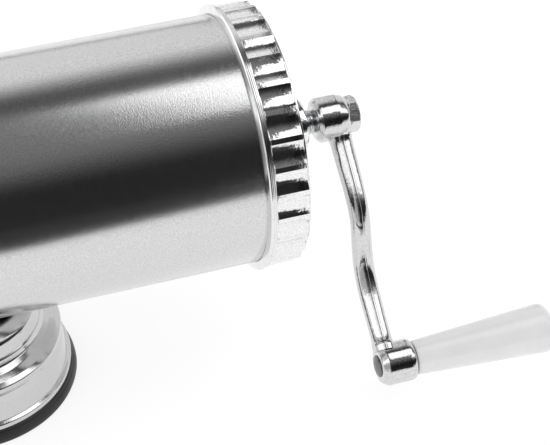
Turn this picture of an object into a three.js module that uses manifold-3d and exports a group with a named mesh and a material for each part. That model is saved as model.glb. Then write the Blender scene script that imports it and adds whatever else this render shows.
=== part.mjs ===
// A hand-cranked sausage stuffer on a suction base.
// Millimetres, +Z up. The origin is the centre of the suction pad's underside, on the table.
// The barrel lies along X: the crank is at its +X end and the stuffing nozzle at its -X end.
import * as THREE from 'three';
import { mergeVertices } from 'three/addons/utils/BufferGeometryUtils.js';
import Module from 'manifold-3d';

const wasm = await Module();
wasm.setup();

// ---------------------------------------------------------------- driving dimensions
const GAP = 0.3;                    // play between pieces that touch

const AXIS_HEIGHT = 94.3;           // barrel axis above the table
const BARREL_RADIUS = 50;
const BARREL_WALL = 0.9;
const COLLAR_FACE = 114.8;          // from the base's centre to the outer face of each collar
const TUBE_PAST_FACE = 13.4;        // threaded end of the tube past that face

const COLLAR = { width: 2.9, coned: 0.9, lipEnd: 1.4, lip: 53.7, shelf: 53.1, edge: 0.3 };
const SEAL = { inner: 44.5, outer: 49.9, thick: 0.7 };

const CAP = {
  start: 3.2,                       // all lengths are from the collar face
  toothEnd: 16.1,
  inner: 50.4,
  outer: 52.6,
  flutes: 30,
  landAngle: 2.2,                   // degrees of full-radius land between two flutes
  fluteDepth: 1.15,
  landPhase: 34.5,                  // degrees from -Y towards +Z of one land's middle
  plateInside: 14.9,
  edge: 51.15,                      // radius of the plate's outer edge
  edgeEnd: 17.1,
  edgeRound: 1.6,
};
const BOSS = { radius: 10.5, end: 30.3, chamfer: 0.7, inner: 9.5, innerStart: 8, bore: 5.35 };
const DISH = { inner: 13.5, outer: 38, depth: 0.2, depthAtBoss: 1.4 };

const SCREW = { radius: 5, neck: 4, tip: 1.2, chamfer: 0.6 };
const PISTON = { front: -106, rear: -96, radius: 48.3, groove: 45.3, land: 3 };
const PISTON_SEAL = { inner: 45.6, outer: 48.8 };
const WASHER = { radius: 9, thick: 1.5 };
const M8 = { flats: 13, height: 6.5 };
const M5 = { flats: 8, height: 4 };

const HUB = { start: 149.8, length: 14, radius: 9.2, leftRound: 2, rightRound: 3.4 };
const CRANK_NUT = { height: 4.1, turn: -12.5 };   // turn in degrees, so that one flat faces up and forward
const CRANK = {
  reach: 101.9,                     // screw axis to grip axis
  lean: 40.4,                       // degrees from hanging straight down, towards -Y
  armPlane: 159.6,                  // place of the arm's middle along the screw
  armRadius: 4.2,
};
// Points along the arm's middle: distance out from the screw axis, and offset to its side.
const ARM_BENDS = [
  [3, 1], [12, -1], [20, -2.8], [29, -4.7], [36, -5.4], [42, -4.7], [47, -2.9],
  [56, 1.6], [62, 3.5], [67, 4], [73, 3.6], [82, 1.8], [90, 0], [96, -1.2],
];
const PIN_BOSS = { start: 156.1, length: 14.8, radius: 8.65, leftRound: 3.2, rightRound: 3 };
const GRIP = {
  length: 59.2,
  small: 7,
  large: 10.3,
  neck: 2,                          // length of the rounded small end
  corner: 4.5,
  crown: 0.5,                       // doming of the end face
  bore: 3.3,
  boreDepth: 44,
};
const GRIP_PIN = { radius: 3, head: 4.6, headFlat: 2.6, headThick: 1.2 };

const SPIGOT = { radius: 15, bore: 12.5, start: 24, end: 34 };
const GASKET = 1;                   // thickness of the nozzle's sealing ring
const NOZZLE = {
  flangeThick: 2,
  baseRadius: 13.4,
  collarEnd: 12,                    // the near-parallel length next to the flange
  collarDrop: 0.4,
  tipRadius: 8.6,
  wall: 1.4,
  length: 125,
};
const NOZZLE_NUT = {
  bore: 15.6,
  outer: 21.5,
  lip: 14,
  lipThick: 2.4,
  width: 14,
  flutes: 12,
  landAngle: 12,
  fluteDepth: 1.1,
  faceRound: 0.6,
};

const SADDLE = { halfLength: 40, straightHalf: 28, halfWidth: 18.8, thick: 1.5 };
const SHELL = { wall: 1.2, top: 42.2, rimBottom: 6.1, bushHole: 5.3 };
const PAD = {
  radius: 45.2,
  belt: 1.6,                        // height up to which the rim keeps its full radius
  web: 3,
  webRadius: 39,
  seat: 5.8,
  seatInner: 40,
  seatOuter: 43.6,
  edge: 0.6,
};

const CAM = { height: 21, radius: 6, throw: 3.5, thick: 7, shaft: 3, shaftStart: -12, bore: 3.1 };
const BUSH = { start: 36, flangeStart: 42.8, end: 44.6, radius: 5, flange: 7 };
const YOKE = { halfWidth: 12.4, bar: 2.4, windowHalf: 10, below: 6.5, above: 7.4, depth: 6, neck: 2.8 };
const CORE_PLATE = { radius: 28, hole: 1, thick: 1.5 };
const BRACKET = { top: 39.6, thick: 2, earInner: 7.5, earBelow: 7, halfWidth: 9, halfLength: 21.5 };
const STUD = { x: 18, radius: 2.5, past: 1.5 };   // one stud each side of the centre
const BASE_WASHER = { radius: 5, thick: 1 };
const LEVER = { y: 48, thick: 4, length: 38, width: 13, tipCorner: 2.5 };
const KNOB = { cover: 16, past: 6, wall: 2.4, halfWidth: 7, bulge: 1 };
const LEVER_SCREW = { radius: 5.2, crown: 2.8 };
const SPRING = { wire: 0.55, radius: 5, turns: 3, stepsPerTurn: 10, sides: 6 };

const CLEAR = 1;                    // how far a cutting solid runs past what it cuts
const FINE = 48;                    // facets round the barrel and what screws on to it
const MIDDLE = 32;                  // facets round the base, the piston and the like
const SMALL = 24;                   // facets round the nozzle and the grip
const COARSE = 16;                  // facets round a small piece
const STUD_FACETS = 12;

// ---------------------------------------------------------------- materials
const metal = (color, roughness) => new THREE.MeshStandardMaterial({ color, roughness, metalness: 1 });
const plain = (color, roughness) => new THREE.MeshStandardMaterial({ color, roughness, metalness: 0 });

const brushedSteel = metal(0xc4c5c6, 0.34);
const chrome = metal(0xe2e3e5, 0.07);
const pressedChrome = metal(0xd6d7d9, 0.09);
const zincSteel = metal(0xb4b6b8, 0.35);
const castAluminium = metal(0xb9babb, 0.45);
const blackRubber = plain(0x17181a, 0.7);
const whiteSilicone = plain(0xe9e8e3, 0.6);
const whitePlastic = plain(0xf0f0ee, 0.28);
const blackPlastic = plain(0x1c1c1e, 0.4);

// ---------------------------------------------------------------- solids
const radians = THREE.MathUtils.degToRad;

function toSolid(geometry) {
  const bare = geometry.clone();
  bare.deleteAttribute('normal');
  bare.deleteAttribute('uv');
  const welded = mergeVertices(bare, 1e-4);
  return new wasm.Manifold(new wasm.Mesh({
    numProp: 3,
    vertProperties: new Float32Array(welded.attributes.position.array),
    triVerts: new Uint32Array(welded.index.array),
  }));
}

function toGeometry(solid) {
  const mesh = solid.getMesh();
  const geometry = new THREE.BufferGeometry();
  geometry.setAttribute('position', new THREE.BufferAttribute(mesh.vertProperties, 3));
  geometry.setIndex(new THREE.BufferAttribute(mesh.triVerts, 1));
  geometry.computeVertexNormals();
  return geometry;
}

function join(first, ...others) {
  return toGeometry(others.reduce((solid, geometry) => solid.add(toSolid(geometry)), toSolid(first)));
}

function cut(body, ...tools) {
  return toGeometry(tools.reduce((solid, geometry) => solid.subtract(toSolid(geometry)), toSolid(body)));
}

// Turns a profile of [along, radius] pairs about Z. Outside goes up, inside comes back down.
function turned(profile, segments = COARSE) {
  const points = profile.map(([along, radius]) => new THREE.Vector2(radius, along));
  if (profile.every(([, radius]) => radius > 0)) points.push(points[0].clone());
  return new THREE.LatheGeometry(points, segments).rotateX(Math.PI / 2);
}

const rod = (from, to, radius, segments) =>
  turned([[from, 0], [from, radius], [to, radius], [to, 0]], segments);

const sleeve = (from, to, outer, inner, segments) =>
  turned([[from, inner], [from, outer], [to, outer], [to, inner]], segments);

const block = (x, y, z, at) => new THREE.BoxGeometry(x, y, z).translate(...at);

// Stands an outline up along Z, from one height to another.
function prism(shape, from, to) {
  const options = { depth: to - from, bevelEnabled: false, curveSegments: COARSE };
  return new THREE.ExtrudeGeometry(shape, options).translate(0, 0, from);
}

// Points along a quarter round from one [along, radius] to another, bulging towards the corner.
function rounded(start, corner, end, steps = 3) {
  const at = ([along, radius]) => new THREE.Vector2(along, radius);
  const curve = new THREE.QuadraticBezierCurve(at(start), at(corner), at(end));
  return curve.getPoints(steps).map((point) => [point.x, point.y]);
}

function circlePath(radius, segments = COARSE) {
  const ring = new THREE.Path();
  for (let i = 0; i < segments; i += 1) {
    const angle = -i * 2 * Math.PI / segments;
    const place = [radius * Math.cos(angle), radius * Math.sin(angle)];
    if (i === 0) ring.moveTo(...place);
    else ring.lineTo(...place);
  }
  return ring;
}

function hexShape(flats) {
  const shape = new THREE.Shape();
  const corner = flats / Math.sqrt(3);
  for (let i = 0; i < 6; i += 1) {
    const angle = i * Math.PI / 3;
    const place = [corner * Math.cos(angle), corner * Math.sin(angle)];
    if (i === 0) shape.moveTo(...place);
    else shape.lineTo(...place);
  }
  return shape;
}

// A hexagon nut whose corners are turned off by a cone at both ends.
function nut(flats, height, bore, from) {
  const corner = flats / Math.sqrt(3);
  const tip = flats / 2;
  const chamfer = (corner - tip) * Math.tan(radians(30));
  const end = from + height;
  const cone = turned([
    [from, 0], [from, tip], [from + chamfer, corner], [end - chamfer, corner], [end, tip], [end, 0],
  ], SMALL);
  const solid = toSolid(prism(hexShape(flats), from, end)).intersect(toSolid(cone));
  return cut(toGeometry(solid), rod(from - CLEAR, end + CLEAR, bore));
}

// An outline whose rim is cut by evenly spaced hollow flutes, with flat lands between them.
function flutedShape({ outer, flutes, landAngle, fluteDepth }, steps = 3) {
  const shape = new THREE.Shape();
  const pitch = 2 * Math.PI / flutes;
  const land = radians(landAngle);
  for (let i = 0; i < flutes; i += 1) {
    const start = i * pitch + land / 2;
    for (let k = 0; k <= steps; k += 1) {
      const angle = start + (pitch - land) * k / steps;
      const across = 2 * k / steps - 1;
      const radius = outer - fluteDepth * (1 - across * across);
      const place = [radius * Math.cos(angle), radius * Math.sin(angle)];
      if (i === 0 && k === 0) shape.moveTo(...place);
      else shape.lineTo(...place);
    }
  }
  return shape;
}

// ---------------------------------------------------------------- assembly frames
const stuffer = new THREE.Group();

function addTo(frame, name, geometry, material) {
  const mesh = new THREE.Mesh(geometry, material);
  mesh.name = name;
  frame.add(mesh);
  return mesh;
}

// In these frames local Z runs along the barrel axis, and local X points to -Y of the stuffer.
function axialFrame(direction, height = AXIS_HEIGHT) {
  const frame = new THREE.Group();
  const along = new THREE.Vector3(direction, 0, 0);
  const front = new THREE.Vector3(0, -1, 0);
  const third = new THREE.Vector3().crossVectors(along, front);
  frame.quaternion.setFromRotationMatrix(new THREE.Matrix4().makeBasis(front, third, along));
  frame.position.z = height;
  stuffer.add(frame);
  return frame;
}

const rearward = axialFrame(1);     // local Z grows towards the crank
const forward = axialFrame(-1);     // local Z grows towards the nozzle

// ---------------------------------------------------------------- barrel
const tubeEnd = COLLAR_FACE + TUBE_PAST_FACE;
addTo(rearward, 'barrel_tube',
  sleeve(-tubeEnd, tubeEnd, BARREL_RADIUS, BARREL_RADIUS - BARREL_WALL, FINE), brushedSteel);

// The collar's inward face is coned out to its lip, and its rim steps down towards the cap.
function collarRing() {
  const face = COLLAR_FACE;
  const { width, coned, lipEnd, lip, shelf, edge } = COLLAR;
  const inner = BARREL_RADIUS + GAP;
  return turned([
    [face, inner], [face, inner + coned], [face + edge, lip - 2 * edge], [face + coned, lip],
    [face + lipEnd, lip], [face + lipEnd + edge, shelf], [face + width, shelf], [face + width, inner],
  ], FINE);
}
addTo(rearward, 'rear_collar_ring', collarRing(), castAluminium);
addTo(forward, 'front_collar_ring', collarRing(), castAluminium);

// ---------------------------------------------------------------- screw-on caps
function sealRing() {
  const start = tubeEnd + GAP;
  return sleeve(start, start + SEAL.thick, SEAL.outer, SEAL.inner, MIDDLE);
}

const atFace = (offset) => COLLAR_FACE + offset;
const place = ([offset, radius]) => [atFace(offset), radius];

// The fluted rim that screws over the tube's end, turned so that a land's middle is at landAngle.
function capSkirt(landAngle) {
  const from = atFace(CAP.start);
  const rim = prism(flutedShape(CAP), from, atFace(CAP.toothEnd)).rotateZ(radians(landAngle));
  return cut(rim, rod(from - CLEAR, atFace(CAP.plateInside), CAP.inner, FINE));
}

// The edge where a cap's plate leaves its rim, as [along, radius] pairs.
function plateEdge() {
  const { plateInside, inner, toothEnd, edge, edgeEnd, edgeRound } = CAP;
  return [
    place([plateInside, inner - CLEAR]),
    place([toothEnd - GAP, edge]),
    ...rounded(place([toothEnd, edge]), place([edgeEnd - GAP, edge]), place([edgeEnd, edge - edgeRound]), 2),
  ];
}

// Rear cap: a low cone rises from the fluted rim to the long boss that the screw runs in.
function rearCap() {
  const { radius, end, chamfer, inner, innerStart, bore } = BOSS;
  const plate = CAP.plateInside;
  const coneFoot = [19, 18];
  const web = turned([
    place([plate, 0]), ...plateEdge(), place(coneFoot),
    ...rounded(place([19.2, 15]), place([20, radius + chamfer]), place([22.5, radius]), 2),
    place([end - chamfer, radius]), place([end, radius - chamfer]), place([end, 0]),
  ], MIDDLE);
  const innerBoss = rod(atFace(innerStart), atFace(plate + CLEAR), inner);
  const dish = turned([
    place([plate - CLEAR, DISH.inner]), place([plate - CLEAR, DISH.outer]),
    place([plate + DISH.depth, DISH.outer]), place([plate + DISH.depthAtBoss, DISH.inner]),
  ], MIDDLE);
  const screwBore = rod(atFace(innerStart - CLEAR), atFace(end + CLEAR), bore);
  return cut(join(capSkirt(-CAP.landPhase), web, innerBoss), dish, screwBore);
}

// Front cap: the same rim, coned in to a threaded spigot for the nozzle.
function frontCap() {
  const { radius, bore, start, end } = SPIGOT;
  const mouth = CAP.inner / 2 - CLEAR;
  const cone = turned([
    place([CAP.plateInside, mouth]), ...plateEdge(), place([start - 1.5, 20]),
    ...rounded(place([start - 0.8, 18]), place([start, radius + GAP]), place([start + 1.5, radius]), 2),
    place([end, radius]), place([end, bore]), place([start - 2, bore]),
  ], MIDDLE);
  return join(capSkirt(CAP.landPhase), cone);
}

addTo(rearward, 'rear_seal_ring', sealRing(), whiteSilicone);
addTo(rearward, 'rear_cap', rearCap(), chrome);
addTo(forward, 'front_seal_ring', sealRing(), whiteSilicone);
addTo(forward, 'front_cap', frontCap(), chrome);

// ---------------------------------------------------------------- nozzle and its ring nut
const nozzleSeat = atFace(SPIGOT.end) + GAP;
const flangeBack = nozzleSeat + GASKET + GAP;
const flangeFront = flangeBack + NOZZLE.flangeThick;
addTo(forward, 'nozzle_gasket',
  sleeve(nozzleSeat, nozzleSeat + GASKET, SPIGOT.radius, SPIGOT.bore, SMALL), whiteSilicone);

function nozzleTube() {
  const { baseRadius, collarEnd, collarDrop, tipRadius, wall, length } = NOZZLE;
  const taperStart = flangeFront + collarEnd;
  const taperRadius = baseRadius - collarDrop;
  const tip = flangeBack + length;
  const lipRound = wall / 3;
  return turned([
    [flangeBack, baseRadius - wall], [flangeBack, SPIGOT.radius],
    [flangeFront, SPIGOT.radius], [flangeFront, baseRadius],
    [taperStart, taperRadius], [tip - lipRound, tipRadius], [tip, tipRadius - lipRound],
    [tip, tipRadius - wall], [taperStart, taperRadius - wall],
  ], SMALL);
}
addTo(forward, 'nozzle_tube', nozzleTube(), whitePlastic);

// The ring nut draws the nozzle's flange and its gasket on to the front cap's spigot.
function nozzleNut() {
  const { bore, outer, lip, lipThick, width, fluteDepth, faceRound } = NOZZLE_NUT;
  const hollowEnd = flangeFront + GAP;
  const end = hollowEnd + lipThick;
  const faceRadius = outer - fluteDepth - GAP;
  const body = prism(flutedShape(NOZZLE_NUT), end - width, end - faceRound - GAP);
  const face = turned([
    [hollowEnd, 0], [hollowEnd, faceRadius], [end - faceRound, faceRadius],
    [end, faceRadius - faceRound], [end, 0],
  ], MIDDLE);
  const hollow = rod(end - width - CLEAR, hollowEnd, bore, SMALL);
  return cut(join(body, face), hollow, rod(hollowEnd - CLEAR, end + CLEAR, lip, SMALL));
}
addTo(forward, 'nozzle_nut', nozzleNut(), chrome);

// ---------------------------------------------------------------- piston
const neckBore = SCREW.neck + GAP;

// A thick disc with a groove round its rim for the seal.
function pistonDisc() {
  const { front, rear, radius, groove, land } = PISTON;
  return turned([
    [front, neckBore], [front, radius - 2 * CLEAR], [front + CLEAR, radius],
    [front + land, radius], [front + land, groove], [rear - land, groove],
    [rear - land, radius], [rear, radius], [rear, neckBore],
  ], MIDDLE);
}
addTo(rearward, 'piston_disc', pistonDisc(), castAluminium);
addTo(rearward, 'piston_seal', sleeve(PISTON.front + PISTON.land + GAP, PISTON.rear - PISTON.land - GAP,
  PISTON_SEAL.outer, PISTON_SEAL.inner, MIDDLE), whiteSilicone);

// ---------------------------------------------------------------- screw, and what turns with it
const screwShoulder = PISTON.rear + 2 * GAP + WASHER.thick;
const frontWasher = PISTON.front - GAP - WASHER.thick;
const pistonNutFrom = frontWasher - GAP - M8.height;
const screwTip = pistonNutFrom - SCREW.tip;
const hubEnd = HUB.start + HUB.length;
const screwEnd = hubEnd + CRANK_NUT.height;

addTo(rearward, 'screw_rod', turned([
  [screwTip, 0], [screwTip, SCREW.neck - SCREW.chamfer], [screwTip + SCREW.chamfer, SCREW.neck],
  [screwShoulder, SCREW.neck], [screwShoulder, SCREW.radius],
  [HUB.start - GAP, SCREW.radius], [HUB.start - GAP, SCREW.neck],
  [screwEnd, SCREW.neck], [screwEnd, 0],
]), zincSteel);

const washers = { piston_front_washer: frontWasher, piston_rear_washer: PISTON.rear + GAP };
for (const [name, from] of Object.entries(washers)) {
  addTo(rearward, name, sleeve(from, from + WASHER.thick, WASHER.radius, neckBore), zincSteel);
}
addTo(rearward, 'piston_nut', nut(M8.flats, M8.height, neckBore, pistonNutFrom), zincSteel);
const crankNut = addTo(rearward, 'crank_nut',
  nut(M8.flats, CRANK_NUT.height, neckBore, hubEnd + GAP), chrome);
crankNut.rotation.z = radians(CRANK_NUT.turn);

// ---------------------------------------------------------------- crank
// The crank frame hangs from the screw axis: local X is along the arm, local Z along the screw.
const crankFrame = new THREE.Group();
crankFrame.rotation.z = radians(90 - CRANK.lean);
rearward.add(crankFrame);

// A turned boss with both end corners rounded.
function bossSolid({ start: from, length, radius, leftRound, rightRound }, at) {
  const to = from + length;
  return turned([
    [from, 0],
    ...rounded([from, radius - leftRound], [from, radius], [from + leftRound, radius]),
    ...rounded([to - rightRound, radius], [to, radius], [to, radius - rightRound]),
    [to, 0],
  ]).translate(at, 0, 0);
}

// The arm's S-bend lies in its plane of turning.
function armSolid() {
  const bends = ARM_BENDS.map(([out, across]) => new THREE.Vector3(out, across, CRANK.armPlane));
  const path = new THREE.CatmullRomCurve3(bends);
  const section = new THREE.Shape(circlePath(CRANK.armRadius, STUD_FACETS).getPoints());
  return new THREE.ExtrudeGeometry(section, { extrudePath: path, steps: 22, bevelEnabled: false });
}

function crankArm() {
  const hubBore = rod(HUB.start - CLEAR, hubEnd + CLEAR, neckBore);
  const pinBossEnd = PIN_BOSS.start + PIN_BOSS.length;
  const pinBore = rod(PIN_BOSS.start - CLEAR, pinBossEnd + CLEAR, GRIP_PIN.radius + GAP)
    .translate(CRANK.reach, 0, 0);
  return cut(join(bossSolid(HUB, 0), bossSolid(PIN_BOSS, CRANK.reach), armSolid()), hubBore, pinBore);
}
addTo(crankFrame, 'crank_arm', crankArm(), chrome);

const gripStart = PIN_BOSS.start + PIN_BOSS.length + GAP;

// The pin's head lies on the boss's inner face, and its shank runs on into the grip.
function gripPinSolid() {
  const { radius, head, headFlat, headThick } = GRIP_PIN;
  const headEnd = PIN_BOSS.start - GAP;
  const headStart = headEnd - headThick;
  const shankEnd = gripStart + GRIP.boreDepth - CLEAR;
  return turned([
    [headStart, 0], ...rounded([headStart, headFlat], [headStart, head], [headEnd, head]),
    [headEnd, radius], [shankEnd, radius], [shankEnd, 0],
  ]);
}
const gripPin = addTo(crankFrame, 'grip_pin', gripPinSolid(), zincSteel);
gripPin.position.x = CRANK.reach;

// The grip swells from its small end to its domed end, and turns freely on the pin.
function gripSolid() {
  const { length, small, large, neck, corner, crown, bore, boreDepth } = GRIP;
  const end = gripStart + length;
  const boreEnd = gripStart + boreDepth;
  return turned([
    [gripStart, bore],
    ...rounded([gripStart, small - CLEAR], [gripStart, small], [gripStart + neck, small]),
    ...rounded([end - corner, large], [end, large], [end, large - corner], 4),
    [end + crown, 0], [boreEnd, 0], [boreEnd, bore], [gripStart, bore],
  ], SMALL);
}
const grip = addTo(crankFrame, 'crank_grip', gripSolid(), whitePlastic);
grip.position.x = CRANK.reach;

// ---------------------------------------------------------------- saddle under the barrel
// A strip of the barrel's own curve, with its ends drawn in to a shallow point.
function saddlePlate() {
  const { halfLength, straightHalf, halfWidth, thick } = SADDLE;
  const inner = BARREL_RADIUS + GAP;
  const band = sleeve(-halfLength, halfLength, inner + thick, inner, 2 * FINE)
    .rotateY(Math.PI / 2).translate(0, 0, AXIS_HEIGHT);
  const outline = new THREE.Shape();
  const shoulderWidth = halfWidth * 0.8;
  outline.moveTo(straightHalf, halfWidth);
  outline.lineTo(-straightHalf, halfWidth);
  outline.quadraticCurveTo(-halfLength, shoulderWidth, -halfLength, 0);
  outline.quadraticCurveTo(-halfLength, -shoulderWidth, -straightHalf, -halfWidth);
  outline.lineTo(straightHalf, -halfWidth);
  outline.quadraticCurveTo(halfLength, -shoulderWidth, halfLength, 0);
  outline.quadraticCurveTo(halfLength, shoulderWidth, straightHalf, halfWidth);
  const column = prism(outline, SHELL.top - thick, AXIS_HEIGHT);
  return toGeometry(toSolid(band).intersect(toSolid(column)));
}

// The two upright holes that the studs pass through, between these heights.
const studHoles = (from, to) => [-1, 1].map((side) =>
  rod(from, to, STUD.radius + GAP, STUD_FACETS).translate(side * STUD.x, 0, 0));

const saddleBottom = AXIS_HEIGHT - BARREL_RADIUS - GAP - SADDLE.thick;
addTo(stuffer, 'saddle_plate', cut(saddlePlate(), ...studHoles(SHELL.top, AXIS_HEIGHT)), zincSteel);

// ---------------------------------------------------------------- suction base
// Outer profile of the pressed shell, from the rim up: [height, radius].
const shellOutside = [
  ...rounded([SHELL.rimBottom, 42.3], [6.3, 43.3], [7.4, 43.2], 2),
  ...rounded([7.4, 43.2], [8.7, 43.1], [9.5, 41.7], 2).slice(1),
  [12, 41.4], [17, 40.6], [21.6, 39.2],
  ...rounded([22.4, 39.4], [23, 40.4], [24.4, 40.3], 2),
  ...rounded([24.4, 40.3], [25.9, 40.2], [26.4, 38.8], 2).slice(1),
  ...rounded([26.9, 37.4], [28, 33.9], [31.2, 32.7]),
  ...rounded([33, 32.9], [41.4, 30.6], [SHELL.top, 21], 4),
];

// Inner profile of the shell, from its top down to the rim.
const shellInside = [
  [SHELL.top - SHELL.wall, 21], [38.6, 27], [32.4, 31.3], [28.4, 31.9],
  [25.6, 36.2], [22.6, 37.9], [13, 39.9], [9.8, 40.3], [7.6, 41.7], [SHELL.rimBottom, 41.2],
];

function pedestalShell() {
  const { top, wall, bushHole } = SHELL;
  const body = turned([...shellOutside, [top, 0], [top - wall, 0], ...shellInside, shellOutside[0]], MIDDLE);
  const sideHole = rod(BUSH.start, LEVER.y, bushHole).rotateX(-Math.PI / 2).translate(0, 0, CAM.height);
  return cut(body, ...studHoles(top - 2 * wall, top + CLEAR), sideHole);
}
addTo(stuffer, 'pedestal_shell', pedestalShell(), pressedChrome);

// A rubber disc, thin in the middle, whose thick rim stands under the shell's.
function suctionPad() {
  const { radius, belt, web, webRadius, seat, seatInner, seatOuter, edge } = PAD;
  return turned([
    [0, 0], [0, radius - edge], [edge, radius], [belt, radius],
    [seat - edge, seatOuter], [seat, seatOuter - edge],
    [seat, seatInner], [web, webRadius], [web, 0],
  ], MIDDLE);
}
addTo(stuffer, 'suction_pad', suctionPad(), blackRubber);

// Two studs hang from the saddle through the shell and the cam bracket, each with washer and nut.
const bracketBottom = BRACKET.top - BRACKET.thick;
const washerTop = bracketBottom - GAP;
const nutTop = washerTop - BASE_WASHER.thick - GAP;
const studTop = saddleBottom + SADDLE.thick - GAP;
const baseFasteners = {
  saddle_stud: rod(nutTop - M5.height - STUD.past, studTop, STUD.radius, STUD_FACETS),
  base_washer: sleeve(washerTop - BASE_WASHER.thick, washerTop, BASE_WASHER.radius, STUD.radius + GAP),
  base_nut: nut(M5.flats, M5.height, STUD.radius + GAP, nutTop - M5.height),
};
for (const [name, geometry] of Object.entries(baseFasteners)) {
  for (const [number, side] of [[1, -1], [2, 1]]) {
    const fastener = addTo(stuffer, `${name}_${number}`, geometry, zincSteel);
    fastener.position.x = side * STUD.x;
  }
}

// ---------------------------------------------------------------- suction mechanism
// A channel-shaped bracket: a top strip, and two ears that carry the cam shaft.
function camBracket() {
  const { top, thick, earInner, earBelow, halfWidth, halfLength } = BRACKET;
  const earBottom = CAM.height - earBelow;
  const earY = earInner + thick / 2;
  const strip = block(2 * halfLength, 2 * (earInner + thick), thick, [0, 0, top - thick / 2]);
  const ears = [-1, 1].map((side) =>
    block(2 * halfWidth, thick, top - earBottom, [0, side * earY, (top + earBottom) / 2]));
  const shaftHole = rod(-2 * earY, 2 * earY, CAM.shaft + GAP)
    .rotateX(-Math.PI / 2).translate(0, 0, CAM.height);
  return cut(join(strip, ...ears), shaftHole, ...studHoles(bracketBottom - CLEAR, top + CLEAR));
}
addTo(stuffer, 'cam_bracket', camBracket(), zincSteel);

// In this frame local Z runs along the cam shaft, towards +Y, and local Y points down.
const shaftFrame = new THREE.Group();
shaftFrame.rotation.x = -Math.PI / 2;
shaftFrame.position.z = CAM.height;
stuffer.add(shaftFrame);

const leverInner = LEVER.y - LEVER.thick / 2;
const leverOuter = leverInner + LEVER.thick;

function leverBush() {
  const { start, flangeStart, end, radius, flange } = BUSH;
  const bore = CAM.shaft + GAP;
  return turned([
    [start, bore], [start, radius], [flangeStart, radius], [flangeStart, flange], [end, flange], [end, bore],
  ]);
}
addTo(shaftFrame, 'lever_bush', leverBush(), whitePlastic);
addTo(shaftFrame, 'cam_shaft', rod(CAM.shaftStart, leverOuter - GAP, CAM.shaft), zincSteel);

const camDisc = rod(-CAM.thick / 2, CAM.thick / 2, CAM.radius).translate(-CAM.throw, 0, 0);
addTo(shaftFrame, 'eccentric_cam', cut(camDisc, rod(-CAM.thick, CAM.thick, CAM.bore)), zincSteel);

// The lever is a flat bar that points to -X when the suction is released.
function leverBar() {
  const { length, width, tipCorner } = LEVER;
  const outline = new THREE.Shape();
  outline.absarc(0, 0, width / 2, -Math.PI / 2, Math.PI / 2, false);
  outline.lineTo(-length, width / 2 - tipCorner);
  outline.lineTo(-length, tipCorner - width / 2);
  outline.closePath();
  return cut(prism(outline, leverInner, leverOuter), rod(leverInner - CLEAR, leverOuter + CLEAR, CAM.bore));
}
addTo(shaftFrame, 'suction_lever', leverBar(), chrome);

// A moulded thumb piece with a slot that takes the lever's tip.
function leverKnob() {
  const { length, width, thick } = LEVER;
  const { cover, past, wall, halfWidth, bulge } = KNOB;
  const from = cover - length;
  const to = -length - past;
  const outline = new THREE.Shape();
  outline.moveTo(from, halfWidth);
  outline.quadraticCurveTo(to, halfWidth + bulge, to, 0);
  outline.quadraticCurveTo(to, -halfWidth - bulge, from, -halfWidth);
  outline.closePath();
  const body = prism(outline, leverInner - wall, leverOuter + wall);
  const slot = block(length, width + 2 * GAP, thick + 2 * GAP, [-length / 2 - GAP, 0, LEVER.y]);
  return cut(body, slot);
}
addTo(shaftFrame, 'lever_knob', leverKnob(), blackPlastic);

const screwHeadFrom = leverOuter + GAP;
const { radius: screwHead, crown: screwCrown } = LEVER_SCREW;
addTo(shaftFrame, 'lever_screw', turned([
  [screwHeadFrom, 0], [screwHeadFrom, screwHead],
  ...rounded([screwHeadFrom + GAP, screwHead], [screwHeadFrom + screwCrown, screwHead],
    [screwHeadFrom + screwCrown, 0]),
]), zincSteel);

// The plate that pulls up the rubber pad, and the yoke whose window rides on the cam.
const plateBottom = PAD.web + GAP;
const plateTop = plateBottom + CORE_PLATE.thick;
addTo(stuffer, 'pad_core_plate',
  sleeve(plateBottom, plateTop, CORE_PLATE.radius, CORE_PLATE.hole, MIDDLE), zincSteel);

function liftStem() {
  const { halfWidth, bar, windowHalf, below, above, depth, neck } = YOKE;
  const low = CAM.height - below - bar;
  const high = CAM.height + above + bar;
  const frame = block(2 * halfWidth, depth, high - low, [0, 0, (high + low) / 2]);
  const window = block(2 * windowHalf, 2 * depth, below + above, [0, 0, CAM.height + (above - below) / 2]);
  return join(cut(frame, window), rod(plateTop + GAP, low + CLEAR, neck, STUD_FACETS));
}
addTo(stuffer, 'lift_stem', liftStem(), zincSteel);

// A coil spring pushes the yoke down from the bracket.
function returnSpring() {
  const { wire, radius, turns, stepsPerTurn, sides } = SPRING;
  const low = CAM.height + YOKE.above + YOKE.bar + GAP + wire;
  const high = bracketBottom - GAP - wire;
  const steps = turns * stepsPerTurn;
  const points = [];
  for (let i = 0; i <= steps; i += 1) {
    const angle = i * 2 * Math.PI / stepsPerTurn;
    const height = low + (high - low) * i / steps;
    points.push(new THREE.Vector3(radius * Math.cos(angle), radius * Math.sin(angle), height));
  }
  const options = { extrudePath: new THREE.CatmullRomCurve3(points), steps, bevelEnabled: false };
  return new THREE.ExtrudeGeometry(new THREE.Shape(circlePath(wire, sides).getPoints()), options);
}
addTo(stuffer, 'return_spring', returnSpring(), zincSteel);

export default stuffer;
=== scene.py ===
"""Looks of the sausage stuffer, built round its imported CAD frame. Pieces are drawn in millimetres."""
import math

import bmesh
import bpy
import numpy as np
from mathutils import Matrix, Vector


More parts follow.
